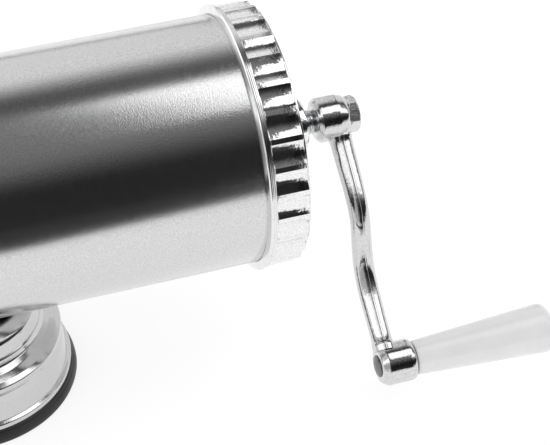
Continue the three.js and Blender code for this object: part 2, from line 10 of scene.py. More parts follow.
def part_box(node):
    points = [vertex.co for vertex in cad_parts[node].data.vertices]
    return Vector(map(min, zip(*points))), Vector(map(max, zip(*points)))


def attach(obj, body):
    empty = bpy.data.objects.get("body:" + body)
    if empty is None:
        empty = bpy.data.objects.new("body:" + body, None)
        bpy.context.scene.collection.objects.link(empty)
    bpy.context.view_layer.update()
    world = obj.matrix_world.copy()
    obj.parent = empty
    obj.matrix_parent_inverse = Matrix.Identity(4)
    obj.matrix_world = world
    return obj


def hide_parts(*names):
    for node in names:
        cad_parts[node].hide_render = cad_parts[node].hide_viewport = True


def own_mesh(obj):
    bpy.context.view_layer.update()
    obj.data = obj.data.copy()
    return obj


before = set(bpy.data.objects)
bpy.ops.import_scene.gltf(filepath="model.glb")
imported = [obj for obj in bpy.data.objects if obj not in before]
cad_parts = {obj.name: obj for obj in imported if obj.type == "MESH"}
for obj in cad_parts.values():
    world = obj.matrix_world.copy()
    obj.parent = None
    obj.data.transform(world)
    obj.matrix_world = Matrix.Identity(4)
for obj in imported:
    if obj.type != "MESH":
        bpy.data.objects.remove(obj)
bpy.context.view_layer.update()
scene = bpy.context.scene

MM = 0.001                  # metres in a millimetre
ON_AXIS = 1e-6              # a radius below this is a point on the axis
WELD = 1e-7                 # vertices nearer than this, in metres, are one
SMOOTH_ANGLE = 32           # degrees; a sharper edge than this is shaded as an edge
MOST_OF_SIDE = 0.48         # share of a side that one corner's rounding may take
LEAST_ROUNDING = 0.01       # a corner with less room than this stays sharp


# ---------------------------------------------------------------- places, read from the frame
def span(node, axis):
    """Lowest and highest place of a CAD node along X, Y or Z (0, 1 or 2), in millimetres."""
    low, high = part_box(node)
    return low[axis] / MM, high[axis] / MM


def middle(node, axis):
    low, high = span(node, axis)
    return (low + high) / 2


AXIS = middle("barrel_tube", 2)                     # height of the barrel's axis
BARREL = (span("barrel_tube", 2)[1] - span("barrel_tube", 2)[0]) / 2
TUBE_END = span("barrel_tube", 0)[1]
FACE = span("rear_collar_ring", 0)[0]               # outer face of the rear collar
PIN_Y = middle("crank_grip", 1)
PIN_Z = middle("crank_grip", 2)
CAM_Z = middle("cam_shaft", 2)
LEVER_Y = middle("suction_lever", 1)
REACH = math.hypot(PIN_Y, AXIS - PIN_Z)             # screw axis to grip axis


# ---------------------------------------------------------------- frames
def axes(x, y, z, origin):
    """Matrix from a piece's own millimetres (Z along its axis) to the row frame in metres."""
    columns = Matrix((x, y, z)).transposed().to_4x4()
    return Matrix.Translation(Vector(origin) * MM) @ columns @ Matrix.Scale(MM, 4)


FRONT, UP = (0, -1, 0), (0, 0, 1)
REARWARD = axes(FRONT, UP, (1, 0, 0), (0, 0, AXIS))     # angles run from -Y towards +Z
FORWARD = axes(FRONT, UP, (-1, 0, 0), (0, 0, AXIS))
UPRIGHT = axes((1, 0, 0), (0, 1, 0), UP, (0, 0, 0))
SHAFT = axes((1, 0, 0), UP, (0, 1, 0), (0, 0, CAM_Z))   # along the cam shaft, towards +Y
PIN = axes(FRONT, UP, (1, 0, 0), (0, PIN_Y, PIN_Z))
ARM_OUT = Vector((0, PIN_Y, PIN_Z - AXIS)).normalized()
ARM_SIDE = Vector((1, 0, 0)).cross(ARM_OUT)
CRANK = axes(ARM_OUT, ARM_SIDE, (1, 0, 0), (0, 0, AXIS))


# ---------------------------------------------------------------- outlines
def softened(outline, radius=0.3, steps=3, closed=True):
    """The outline with each corner rounded. A point's third number, if any, is its own radius."""
    count = len(outline)
    rounded = []
    for i, point in enumerate(outline):
        here = Vector(point[:2])
        if not closed and i in (0, count - 1):
            rounded.append(tuple(here))
            continue
        before = Vector(outline[i - 1][:2]) - here
        after = Vector(outline[(i + 1) % count][:2]) - here
        own = point[2] if len(point) > 2 else radius
        turn = math.pi - before.angle(after)
        reach = min(own * math.tan(turn / 2), MOST_OF_SIDE * before.length, MOST_OF_SIDE * after.length)
        if reach < LEAST_ROUNDING:
            rounded.append(tuple(here))
            continue
        start, end = here + before.normalized() * reach, here + after.normalized() * reach
        for k in range(steps + 1):
            t = k / steps
            rounded.append(tuple(start * (1 - t) ** 2 + here * 2 * t * (1 - t) + end * t * t))
    return rounded


def stretched(outline, longest, closed=True):
    """The outline with points added, so that no side is longer than this."""
    result = []
    count = len(outline)
    for i in range(count if closed else count - 1):
        a, b = Vector(outline[i]), Vector(outline[(i + 1) % count])
        parts = max(1, math.ceil((b - a).length / longest))
        result += [tuple(a.lerp(b, k / parts)) for k in range(parts)]
    if not closed:
        result.append(tuple(outline[-1]))
    return result


# ---------------------------------------------------------------- meshes
def make_object(name, vertices, faces, smooth_angle=SMOOTH_ANGLE):
    """A mesh object, its faces turned outwards and its edges sharp past an angle in degrees."""
    mesh = bpy.data.meshes.new(name)
    mesh.from_pydata([tuple(v) for v in vertices], [], [tuple(f) for f in faces])
    work = bmesh.new()
    work.from_mesh(mesh)
    bmesh.ops.remove_doubles(work, verts=work.verts, dist=WELD)
    bmesh.ops.recalc_face_normals(work, faces=work.faces)
    work.to_mesh(mesh)
    work.free()
    mesh.shade_smooth()
    mesh.set_sharp_from_angle(angle=math.radians(smooth_angle))
    item = bpy.data.objects.new(name, mesh)
    scene.collection.objects.link(item)
    return item


def turned(name, outline, place, segments=96, shape=None, closed=True, angles=None,
           smooth_angle=SMOOTH_ANGLE):
    """Turns (along, radius) points about Z. shape(along, radius, angles) may change a ring's radii."""
    if angles is None:
        angles = np.arange(segments) * 2 * math.pi / segments
    count = len(angles)
    rings, vertices = [], []
    for along, radius in outline:
        if radius < ON_AXIS:
            rings.append([len(vertices)] * count)
            vertices.append(place @ Vector((0, 0, along)))
            continue
        radii = np.full(count, radius) if shape is None else shape(along, radius, angles)
        rings.append(list(range(len(vertices), len(vertices) + count)))
        for angle, r in zip(angles, radii):
            vertices.append(place @ Vector((r * math.cos(angle), r * math.sin(angle), along)))
    faces = []
    for i in range(len(rings) if closed else len(rings) - 1):
        lower, upper = rings[i], rings[(i + 1) % len(rings)]
        for j in range(count):
            k = (j + 1) % count
            corners = dict.fromkeys((lower[j], lower[k], upper[k], upper[j]))
            if len(corners) > 2:
                faces.append(list(corners))
    return make_object(name, vertices, faces, smooth_angle)


def swept(name, rings, place):
    """A closed body through rings of points that all have the same number of points."""
    vertices = [place @ Vector(p) for ring in rings for p in ring]
    size = len(rings[0])
    faces = [(i * size + j, i * size + (j + 1) % size, (i + 1) * size + (j + 1) % size, (i + 1) * size + j)
             for i in range(len(rings) - 1) for j in range(size)]
    last = (len(rings) - 1) * size
    faces += [tuple(range(size)), tuple(range(last, last + size))]
    return make_object(name, vertices, faces)


def slab(name, outline, low, high, place, bevel=0.5):
    """A flat plate with this (x, y) outline, its edges rounded."""
    vertices = [place @ Vector((x, y, z)) for z in (low, high) for x, y in outline]
    size = len(outline)
    faces = [(j, (j + 1) % size, size + (j + 1) % size, size + j) for j in range(size)]
    faces += [tuple(range(size)), tuple(range(size, 2 * size))]
    item = make_object(name, vertices, faces)
    return round_edges(item, bevel) if bevel else item


def round_edges(item, width, segments=3, angle=30):
    """Rounds the edges that bend by more than the angle, in degrees."""
    modifier = item.modifiers.new("rounded edges", "BEVEL")
    modifier.width = width * MM
    modifier.segments = segments
    modifier.limit_method = "ANGLE"
    modifier.angle_limit = math.radians(angle)
    modifier.harden_normals = True
    return item


def combine(item, others, operation):
    """Joins the others to the item, or cuts them from it, for good."""
    for other in others:
        modifier = item.modifiers.new(operation, "BOOLEAN")
        modifier.operation = operation
        modifier.solver = "EXACT"
        modifier.object = other
    graph = bpy.context.evaluated_depsgraph_get()
    graph.update()
    mesh = bpy.data.meshes.new_from_object(item.evaluated_get(graph))
    item.modifiers.clear()
    item.data = mesh
    mesh.shade_smooth()
    mesh.set_sharp_from_angle(angle=math.radians(SMOOTH_ANGLE))
    for other in others:
        bpy.data.objects.remove(other)
    return item


def finished(item, body, nodes, material):
    """Sets a piece's material and body, and hides the CAD nodes that it stands for."""
    item.data.materials.clear()
    item.data.materials.append(material)
    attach(item, body)
    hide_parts(*nodes)
    return item


# ---------------------------------------------------------------- materials
class Shader:
    """A node material under construction, with coordinates in millimetres."""

    def __init__(self, name, color, metallic, roughness, **sockets):
        self.material = bpy.data.materials.new(name)
        self.material.use_nodes = True
        self.tree = self.material.node_tree
        self.bsdf = self.tree.nodes["Principled BSDF"]
        self.bsdf.inputs["Base Color"].default_value = (*color, 1)
        self.bsdf.inputs["Metallic"].default_value = metallic
        self.bsdf.inputs["Roughness"].default_value = roughness
        for socket, value in sockets.items():
            self.bsdf.inputs[socket.replace("_", " ")].default_value = value
        self.coordinates = self.node("ShaderNodeTexCoord").outputs["Object"]

    def node(self, kind, inputs=None, **settings):
        """Adds a node. An input is a value, or another node's output."""
        made = self.tree.nodes.new(kind)
        for key, value in settings.items():
            setattr(made, key, value)
        for key, value in (inputs or {}).items():
            if isinstance(value, bpy.types.NodeSocket):
                self.tree.links.new(value, made.inputs[key])
            else:
                made.inputs[key].default_value = value
        return made

    def noise(self, grain, detail=3, roughness=0.55):
        """Noise whose cells are about this many millimetres along X, Y and Z."""
        sizes = grain if isinstance(grain, tuple) else (grain,) * 3
        mapped = self.node("ShaderNodeMapping", {"Vector": self.coordinates,
                                                 "Scale": [1 / (size * MM) for size in sizes]})
        return self.node("ShaderNodeTexNoise", {"Vector": mapped.outputs["Vector"], "Scale": 1.0,
                                                "Detail": detail, "Roughness": roughness}).outputs["Fac"]

    def blend(self, factor, low, high):
        """A number that goes from low to high as the noise goes through its middle range."""
        start, end = 0.3, 0.7
        return self.node("ShaderNodeMapRange", {"Value": factor, "From Min": start, "From Max": end,
                                                "To Min": low, "To Max": high}).outputs["Result"]

    def colors(self, factor, low, high):
        """Mixes two colours by a noise."""
        mixed = self.node("ShaderNodeMix", {"Factor": self.blend(factor, 0, 1)}, data_type="RGBA")
        for socket in mixed.inputs:
            if socket.type == "RGBA":
                socket.default_value = (*(low if socket.name == "A" else high), 1)
        result = next(s for s in mixed.outputs if s.type == "RGBA")
        self.tree.links.new(result, self.bsdf.inputs["Base Color"])

    def rough(self, factor, low, high):
        """Varies the roughness by a noise."""
        self.tree.links.new(self.blend(factor, low, high), self.bsdf.inputs["Roughness"])

    def bumps(self, *layers):
        """Adds bumps from (height, strength, depth in millimetres) layers, the first lowest."""
        normal = None
        for height, strength, depth in layers:
            inputs = {"Height": height, "Strength": strength, "Distance": depth * MM}
            if normal:
                inputs["Normal"] = normal
            normal = self.node("ShaderNodeBump", inputs).outputs["Normal"]
        self.tree.links.new(normal, self.bsdf.inputs["Normal"])


def brushed_steel():
    """Satin steel, brushed round the barrel: the scratches are narrow along X and long across it."""
    s = Shader("brushed_steel", (0.66, 0.66, 0.665), 1, 0.16, Anisotropic=0.45)
    tangent = s.node("ShaderNodeTangent", direction_type="RADIAL", axis="X")
    s.tree.links.new(tangent.outputs["Tangent"], s.bsdf.inputs["Tangent"])
    scratches, grain, clouds = s.noise((0.16, 5, 5), 4), s.noise((0.45, 0.6, 0.6), 2), s.noise(28, 2)
    s.colors(grain, (0.58, 0.58, 0.585), (0.73, 0.73, 0.735))
    s.rough(scratches, 0.12, 0.20)
    s.bumps((clouds, 0.5, 0.015), (grain, 0.9, 0.03), (scratches, 0.4, 0.006))
    return s.material


def scaled(color, share):
    return tuple(share * c for c in color)


def plated(name, roughness, waves, pits, color=(0.80, 0.80, 0.81), dull=0.85):
    """Bright plating. waves and pits are (grain, depth) of its unevenness, in millimetres. The colour
    goes down to the dull share of itself in the pits, and somewhat over itself between them."""
    s = Shader(name, color, 1, roughness)
    slow, fine, smears = s.noise(waves[0], 2), s.noise(pits[0], 3), s.noise((9, 3, 3), 4)
    s.colors(fine, scaled(color, dull), scaled(color, math.sqrt(2 - dull)))
    s.rough(smears, 0.7 * roughness, 1.5 * roughness)
    s.bumps((slow, 0.8, waves[1]), (fine, 0.7, pits[1]))
    return s.material


def turned_metal(name, color, roughness, grain):
    """Machined metal with fine lathe marks in its bumps and a slightly uneven shine."""
    s = Shader(name, color, 1, roughness)
    marks, patches = s.noise(grain, 3), s.noise(5, 3)
    s.colors(patches, scaled(color, 0.9), color)
    s.rough(patches, 0.8 * roughness, 1.3 * roughness)
    s.bumps((patches, 0.4, 0.01), (marks, 0.5, 0.003))
    return s.material


def soft_plastic(name, color, roughness, grain, depth, **sockets):
    """Moulded plastic or rubber: a fine skin, faint clouding and uneven gloss."""
    s = Shader(name, color, 0, roughness, **sockets)
    skin, clouds = s.noise(grain, 3), s.noise(9, 3)
    s.colors(clouds, scaled(color, 0.94), color)
    s.rough(clouds, 0.85 * roughness, 1.2 * roughness)
    s.bumps((clouds, 0.4, 0.03), (skin, 0.5, depth))
    return s.material


STEEL = brushed_steel()
CHROME = plated("chrome", 0.07, (2.6, 0.09), (0.7, 0.02))
CAST_CHROME = plated("cast_chrome", 0.09, (3.2, 0.09), (0.8, 0.03), (0.86, 0.86, 0.865))
PRESSED = plated("pressed_chrome", 0.13, (7, 0.1), (0.9, 0.006), (0.60, 0.60, 0.605), 0.96)
CRANK_CHROME = plated("crank_chrome", 0.1, (3.2, 0.09), (0.7, 0.045), (0.68, 0.68, 0.685))
DULL_STEEL = turned_metal("dull_steel", (0.2, 0.2, 0.2), 0.3, (0.6, 0.6, 0.6))
ROUGH_NUT = plated("nut_plating", 0.16, (1.6, 0.14), (0.5, 0.07), (0.74, 0.74, 0.74))
ALUMINIUM = turned_metal("turned_aluminium", (0.86, 0.86, 0.865), 0.13, (0.6, 4, 4))
ZINC = turned_metal("zinc_plate", (0.66, 0.67, 0.68), 0.22, (0.6, 0.6, 0.6))
RUBBER = soft_plastic("black_rubber", (0.012, 0.012, 0.012), 0.42, 0.35, 0.012)
SILICONE = soft_plastic("white_silicone", (0.80, 0.79, 0.76), 0.5, 0.5, 0.01)
WHITE = soft_plastic("white_plastic", (0.78, 0.78, 0.785), 0.17, 0.8, 0.0015)
BLACK = soft_plastic("black_plastic", (0.02, 0.02, 0.021), 0.42, 0.3, 0.02)


# ---------------------------------------------------------------- shapes of repeated features
def thread(lead, depth, starts=1, hand=1):
    """Ring radii with a right-hand screw thread cut into them. hand is 1 in REARWARD, whose angles run
    the other way round, and -1 in FORWARD and UPRIGHT."""
    steepness, crest = 2.4, 0.7

    def shape(along, radius, angles):
        turn = (along / lead + hand * angles / (2 * math.pi)) * starts % 1
        groove = np.clip(steepness * np.abs(2 * turn - 1) - crest, 0, 1)
        return radius - depth * groove
    return shape


def plain(radius, angles):
    """Ring radii of a round ring."""
    return np.full(len(angles), radius)


def steps_between(start, end, spacing):
    """Even steps from start to end, both included, no further apart than the spacing."""
    count = max(2, math.ceil(abs(end - start) / spacing))
    return [start + (end - start) * i / count for i in range(count + 1)]


def flute_angles(count, land, phase, samples=13):
    """Angles in radians round a fluted rim, close together where a flute meets its land."""
    pitch = 360 / count
    edge = 0.25                         # degrees of the land's border
    within = [-land / 2 + edge, 0, land / 2 - edge, land / 2]
    flute = [land / 2 + (pitch - land) * (0.5 - 0.5 * math.cos(math.pi * k / samples))
             for k in range(1, samples)]
    one = within + flute + [pitch - land / 2]
    return np.radians([phase + i * pitch + a for i in range(count) for a in one])


def fluted(count, land, depth, phase, rim):
    """Ring radii of a fluted rim, the flutes hollow between flat lands. Radii below rim stay round."""
    pitch = math.radians(360 / count)
    half_land = math.radians(land) / 2

    def shape(along, radius, angles):
        if radius <= rim:
            return plain(radius, angles)
        offset = (angles - math.radians(phase)) % pitch
        across = (offset - half_land) / (pitch - 2 * half_land)
        return radius - np.clip(4 * across * (1 - across), 0, 1) * depth
    return shape


# ---------------------------------------------------------------- barrel and its collars
CAP_PITCH = 3.0             # thread of the tube's ends
THREAD_START = 3.0          # past the collar's face


def make_barrel():
    """The tube, threaded from just past each collar to its chamfered ends."""
    wall, chamfer, chamfer_length, ring_step = 0.9, 0.6, 0.5, 0.36
    rim = FACE + THREAD_START
    ridges = thread(CAP_PITCH, 0.5)

    def shape(along, radius, angles):
        on_thread = abs(along) > rim and radius > BARREL - 0.1
        return ridges(along, radius, angles) if on_thread else plain(radius, angles)
    outer = [(a, BARREL) for a in steps_between(rim, TUBE_END - chamfer_length, ring_step)]
    outside = [(-a, r) for a, r in reversed(outer)] + outer
    outline = [(-TUBE_END, BARREL - chamfer)] + outside + [(TUBE_END, BARREL - chamfer)]
    outline += [(TUBE_END, BARREL - wall), (-TUBE_END, BARREL - wall)]
    item = turned("barrel", outline, REARWARD, 240, shape)
    finished(item, "root", ["barrel_tube"], STEEL)


def make_collar(name, place, node):
    """A coned ring against the barrel, its rim turned into three narrow bands."""
    inner = BARREL + 0.06
    outline = [
        (0, inner), (-0.02, inner + 0.5), (0.05, 51.2), (0.35, 53.15), (0.8, 53.65), (1.25, 53.7),
        (1.33, 53.4), (1.5, 53.4), (1.6, 53.62), (2.0, 53.62), (2.1, 53.25), (2.3, 53.25),
        (2.38, 53.4), (2.8, 53.38), (2.9, 53.2), (2.9, inner),
    ]
    shifted = [(FACE + a, r) for a, r in outline]
    item = turned(name, softened(shifted, 0.06, 2), place, 240)
    finished(item, "root", [node], ALUMINIUM)


# ---------------------------------------------------------------- caps
RIM_START, RIM_END, RIM_RADIUS, RIM_BORE = 3.2, 16.1, 52.6, 50.4
FLUTES, FLUTE_DEPTH = 30, 1.15
LAND, LAND_PHASE = 2.2, 34.5            # degrees: a land's width, and the middle of the first one
PLATE, EDGE_RADIUS = 14.9, 51.15        # the plate's inner face, and the narrow edge past the flutes


def cap_rim():
    """Outline of a cap's rim and edge, from its open end, with offsets from the collar's face."""
    return [
        (PLATE, RIM_BORE), (RIM_START, RIM_BORE, 0.2), (RIM_START, RIM_RADIUS, 0.5),
        (RIM_END, RIM_RADIUS, 0.4), (RIM_END + 0.1, EDGE_RADIUS, 0.05),
        (RIM_END + 0.8, EDGE_RADIUS, 0.9), (RIM_END + 1, 49.4, 1),
    ]


def make_cap(name, place, body, node, rest):
    """rest is the outline from the cap's edge to its middle and back along its inside."""
    outline = softened(cap_rim() + rest, 0.4, 4)
    outline = [(FACE + a, r) for a, r in outline]
    rim = fluted(FLUTES, LAND, FLUTE_DEPTH, LAND_PHASE, EDGE_RADIUS + 0.1)
    angles = flute_angles(FLUTES, LAND, LAND_PHASE)
    item = turned(name, outline, place, shape=rim, angles=angles, smooth_angle=24)
    finished(item, body, [node], CAST_CHROME)


def make_rear_cap():
    """The crank's cap: a low cone up to a long boss that the screw runs through."""
    boss, boss_end, bore, inner = 10.5, 30.3, 5.35, 9.5
    outside = [(19, 18, 3), (19.9, 11.6, 3), (23, boss, 3), (boss_end, boss, 0.9), (boss_end, bore, 0.4)]
    inside = [(8, bore, 0.3), (8, inner, 0.6), (PLATE, inner), (PLATE, 13.5), (16.3, 13.5), (15.1, 38),
              (PLATE, 38)]
    make_cap("rear_cap_casting", REARWARD, "rear_cap", "rear_cap", outside + inside)


def make_front_cap():
    """The nozzle's cap: the same rim, coned in to a threaded spigot."""
    spigot, bore, start, end = 15, 12.5, 24, 34
    groove, ring_step = 0.5, 0.75
    outside = [(22.5, 20, 3), (23.8, 15.6, 2)]
    outside += [(a, spigot if i % 2 else spigot - groove, 0.15)
                for i, a in enumerate(steps_between(start + 1, end - 0.8, ring_step))]
    inside = [(end, spigot - 0.7, 0.2), (end, bore, 0.3), (start - 2, bore, 1), (PLATE, 24.2, 0.6)]
    make_cap("front_cap_casting", FORWARD, "front_cap", "front_cap", outside + inside)


# ---------------------------------------------------------------- turned pieces
def ring(start, end, outer, inner, radius=0.2):
    """Outline of a flat ring with rounded edges."""
    return softened([(start, inner), (start, outer), (end, outer), (end, inner)], radius)


def add_turned(name, outline, place, body, node, material, segments=96, shape=None, closed=True):
    """A turned piece that stands for one CAD node."""
    item = turned(name, outline, place, segments, shape, closed)
    return finished(item, body, [node], material)


def make_seals():
    """The flat rings that the caps press on the tube's ends."""
    gap, thick, outer, inner = 0.3, 0.7, 49.9, 44.5
    start = TUBE_END + gap
    for side, place in (("rear", REARWARD), ("front", FORWARD)):
        add_turned(f"{side}_seal", ring(start, start + thick, outer, inner), place,
                   f"{side}_seal", f"{side}_seal_ring", SILICONE, 128)


def make_piston():
    """A turned disc with a shallow dish in each face, and a seal that bulges from its groove."""
    front, rear = span("piston_disc", 0)
    bore, edge, dish, groove, groove_end = 4.3, 48.3, 0.6, 45.3, 3
    outline = [(front, bore), (front, 12), (front + dish, 13), (front + dish, 40), (front, 41),
               (front, 47.2, 1), (front + 1.2, edge, 0.6), (front + groove_end, edge),
               (front + groove_end, groove), (rear - groove_end, groove), (rear - groove_end, edge),
               (rear, edge, 0.8), (rear, 41), (rear - dish, 40), (rear - dish, 13), (rear, 12),
               (rear, bore)]
    add_turned("piston_plate", softened(outline, 0.25), REARWARD, "piston", "piston_disc",
               ALUMINIUM, 160)
    low, high = span("piston_seal", 0)
    inner, bulge, lip = 45.6, 48.8, 0.8
    seal = [(low, inner), (low, edge), (low + lip, bulge), (high - lip, bulge), (high, edge), (high, inner)]
    add_turned("piston_ring", softened(seal, 0.5), REARWARD, "piston", "piston_seal",
               SILICONE, 160)


def make_screw():
    """The screw: a two-start thread between turned necks that are threaded for their nuts."""
    tip, end = span("screw_rod", 0)
    neck, radius, lead, pitch = 4, 5, 4, 1.25
    coarse_step, fine_step, nut_length = 0.24, 0.16, 6
    shoulder = span("piston_rear_washer", 0)[1] + 0.3
    hub = span("crank_arm", 0)[0] - 0.3
    nut_end = span("piston_nut", 0)[1]
    thread_start, thread_end = shoulder + 1.5, hub - 0.6
    main, fine = thread(lead, 0.75, starts=2), thread(pitch, 0.45)

    def shape(along, r, angles):
        if thread_start < along < thread_end:
            return main(along, r, angles)
        if along < nut_end or along > end - nut_length:
            return fine(along, r, angles)
        return plain(r, angles)
    outline = [(tip, 0), (tip, neck - 0.8)]
    outline += [(a, neck) for a in steps_between(tip + 0.7, nut_end, fine_step)]
    outline += [(shoulder, neck), (shoulder, radius - 0.4), (shoulder + 0.4, radius)]
    outline += [(a, radius) for a in steps_between(thread_start, thread_end, coarse_step)]
    outline += [(hub, radius - 0.6), (hub, neck)]
    outline += [(a, neck) for a in steps_between(end - nut_length, end - 0.6, fine_step)]
    outline += [(end, neck - 0.6), (end, 0)]
    add_turned("spindle", outline, REARWARD, "screw", "screw_rod", ZINC, 40, shape,
               closed=False)


def standing_at(node):
    """Upright frame at the node's place along X."""
    return axes((1, 0, 0), (0, 1, 0), UP, (middle(node, 0), 0, 0))


def make_stud(number):
    """A stud from the saddle down into the shell, threaded at its lower end."""
    node = f"saddle_stud_{number}"
    start, end = span(node, 2)
    radius, ring_step, thread_length = 2.5, 0.1, 9
    pitch = thread(0.8, 0.3, hand=-1)

    def shape(along, r, angles):
        on_thread = along < start + thread_length
        return pitch(along, r, angles) if on_thread else plain(r, angles)
    stud = [(start, 0), (start, radius - 0.4)]
    stud += [(a, radius) for a in steps_between(start + 0.4, start + thread_length, ring_step)]
    stud += [(end - 0.3, radius), (end, radius - 0.3), (end, 0)]
    add_turned(f"stud_{number}", stud, standing_at(node), "root", node, ZINC, 28, shape,
               closed=False)


def make_washers_and_studs():
    for side in ("front", "rear"):
        node = f"piston_{side}_washer"
        start, end = span(node, 0)
        add_turned(f"{side}_piston_washer", ring(start, end, 9, 4.3, 0.35), REARWARD,
                   "screw", node, ZINC, 64)
    for number in (1, 2):
        node = f"base_washer_{number}"
        start, end = span(node, 2)
        add_turned(f"shell_washer_{number}", ring(start, end, 5, 2.8, 0.25), standing_at(node),
                   "root", node, ZINC, 48)
        make_stud(number)


def make_nut(name, node, body, place, start, end, flats, bore, material, turn=0.0):
    """A hexagon nut: flat sides, corners turned off by a cone at both ends, a countersunk bore."""
    corner = flats / math.sqrt(3)
    tip, cone_slope, sink, chamfer = flats * 0.49, 0.62, 0.6, 0.5

    def shape(along, radius, angles):
        if radius < tip - 0.1:
            return plain(radius, angles)
        face = (angles - math.radians(turn)) % (math.pi / 3) - math.pi / 6
        cone = tip + (min(along - start, end - along) + 0.02) / cone_slope
        return np.minimum(flats / 2 / np.cos(face), min(cone, corner))
    sides = [start + (end - start) * k for k in (0, 0.03, 0.07, 0.12, 0.18, 0.26, 0.38, 0.5)]
    sides += [start + end - a for a in reversed(sides[:-1])]
    outline = [(start, bore + sink), (start, tip - 0.4)] + [(a, corner) for a in sides]
    outline += [(end, tip - 0.4), (end, bore + sink), (end - chamfer, bore), (start + chamfer, bore)]
    one = [-30, -29.2, -28, -25, -20, -14, -7, 0, 7, 14, 20, 25, 28, 29.2]
    angles = np.radians([turn + 30 + i * 60 + a for i in range(6) for a in one])
    item = turned(name, outline, place, shape=shape, angles=angles, smooth_angle=20)
    return finished(item, body, [node], material)


def make_nuts():
    flats, bore = 13, 4.1
    start, end = span("crank_nut", 0)
    make_nut("crank_hub_nut", "crank_nut", "screw", REARWARD, start - 0.2, end, flats, bore,
             ROUGH_NUT, CRANK_NUT_TURN)
    start, end = span("piston_nut", 0)
    make_nut("piston_end_nut", "piston_nut", "screw", REARWARD, start, end, flats, bore, ZINC)
    for number in (1, 2):
        node = f"base_nut_{number}"
        start, end = span(node, 2)
        make_nut(f"shell_nut_{number}", node, "root", standing_at(node), start, end, 8, 2.6,
                 ZINC)


# ---------------------------------------------------------------- crank
CRANK_NUT_TURN = 12.5       # degrees from -Y towards +Z of one corner of the nut
HUB_START, HUB_LENGTH, HUB_RADIUS = 149.8, 14.0, 9.2
BOSS_START, BOSS_LENGTH, BOSS_RADIUS = 156.1, 14.8, 8.65
ARM_PLANE = 159.6           # the X of the plane that the arm's bends lie in
ARM_PATH = [                # out along the arm, and across it, with the arm's radius
    (3, 1, 4.7), (12, -1, 4.6), (20, -2.8, 4.5), (29, -4.7, 4.3), (36, -5.4, 4.2), (42, -4.7, 4.1),
    (46, -3.2, 4.1), (54, 0.9, 4.2), (60, 3.2, 4.25), (66, 4, 4.3), (73, 3.6, 4.3), (82, 1.8, 4.2),
    (90, 0, 4.15), (96, -1.2, 4.15),
]


def catmull(points, steps):
    """A smooth curve through the points, with this many steps between each two."""
    arrays = [np.array(p, float) for p in points]
    arrays = [2 * arrays[0] - arrays[1]] + arrays + [2 * arrays[-1] - arrays[-2]]
    curve = []
    for a, b, c, d in zip(arrays, arrays[1:], arrays[2:], arrays[3:]):
        for k in range(steps):
            t = k / steps
            curve.append(0.5 * (2 * b + (c - a) * t + (2 * a - 5 * b + 4 * c - d) * t ** 2
                                + (3 * b - a - 3 * c + d) * t ** 3))
    return curve + [arrays[-2]]


def arm_rings():
    """Rings of the crank's arm. A mould seam runs along it, in the plane that it turns in."""
    seam = [-0.55, -0.4, -0.28, -0.17, -0.08, 0, 0.08, 0.17, 0.28, 0.4]
    sides = [math.radians(a) for a in range(10, 171, 8)]
    curve = catmull(ARM_PATH, 9)
    rings = []
    for i, point in enumerate(curve):
        before, after = curve[max(i - 1, 0)], curve[min(i + 1, len(curve) - 1)]
        step = after - before
        along = Vector((step[0], step[1], 0)).normalized()
        out = Vector((0, 0, 1))
        normal = out.cross(along).normalized()
        centre, radius = Vector((point[0], point[1], ARM_PLANE)), point[2]
        to_hub, to_boss = point[0] - HUB_RADIUS, REACH - BOSS_RADIUS - point[0]
        flare = 0.9 * math.exp(-max(0, to_hub) / 1.1) + 1.2 * math.exp(-max(0, to_boss) / 1.3)   # fillets
        turns = [s / radius for s in seam] + sides
        turns += [math.pi + t for t in turns]
        ring_points = []
        for turn in turns:
            from_seam = radius * math.sin(turn)
            notch = 0.14 * math.exp(-(from_seam / 0.17) ** 2) - 0.1 * math.exp(-(from_seam / 0.6) ** 2)
            r = radius + flare * abs(math.cos(turn)) - notch
            ring_points.append(centre + normal * (r * math.cos(turn)) + out * (r * math.sin(turn)))
        rings.append(ring_points)
    return rings


def boss_body(name, outline, place):
    """A solid turned body, in short steps so that the arm joins it cleanly."""
    points = stretched(softened(outline, 0.3, 5, False), 0.7, False)
    return turned(name, points, place, 128, closed=False)


def make_crank():
    """The crank's casting: hub, arm and pin boss in one, bored for the screw's neck and for the pin."""
    hub_end, boss_end = HUB_START + HUB_LENGTH, BOSS_START + BOSS_LENGTH
    hub = [(HUB_START, 0), (HUB_START, 6.6, 0.5), (HUB_START + 0.5, 8.0, 0.7), (HUB_START + 1.6, 9.05, 0.5),
           (HUB_START + 1.8, 8.95, 0.1), (HUB_START + 2.2, HUB_RADIUS, 0.4),
           (HUB_START + 9.8, HUB_RADIUS, 4), (HUB_START + 12.8, 8.5, 3), (hub_end, 7.3, 0.9), (hub_end, 0)]
    boss = [(BOSS_START, 0), (BOSS_START, 6.9, 1.2), (BOSS_START + 2.6, BOSS_RADIUS, 2.2),
            (boss_end, BOSS_RADIUS, 2.6), (boss_end, 0)]
    crank = boss_body("crank_casting", hub, REARWARD)
    combine(crank, [boss_body("pin_boss", boss, PIN), swept("arm", arm_rings(), CRANK)], "UNION")
    bores = []
    past, neck, shank = 2, 4.15, 3.2
    holes = ((REARWARD, HUB_START, hub_end, neck), (PIN, BOSS_START, boss_end, shank))
    for place, start, end, radius in holes:
        sides = [(start - past, 0), (start - past, radius), (end + past, radius), (end + past, 0)]
        bores.append(turned("bore", sides, place, 48, closed=False))
    combine(crank, bores, "DIFFERENCE")
    finished(crank, "screw", ["crank_arm"], CRANK_CHROME)


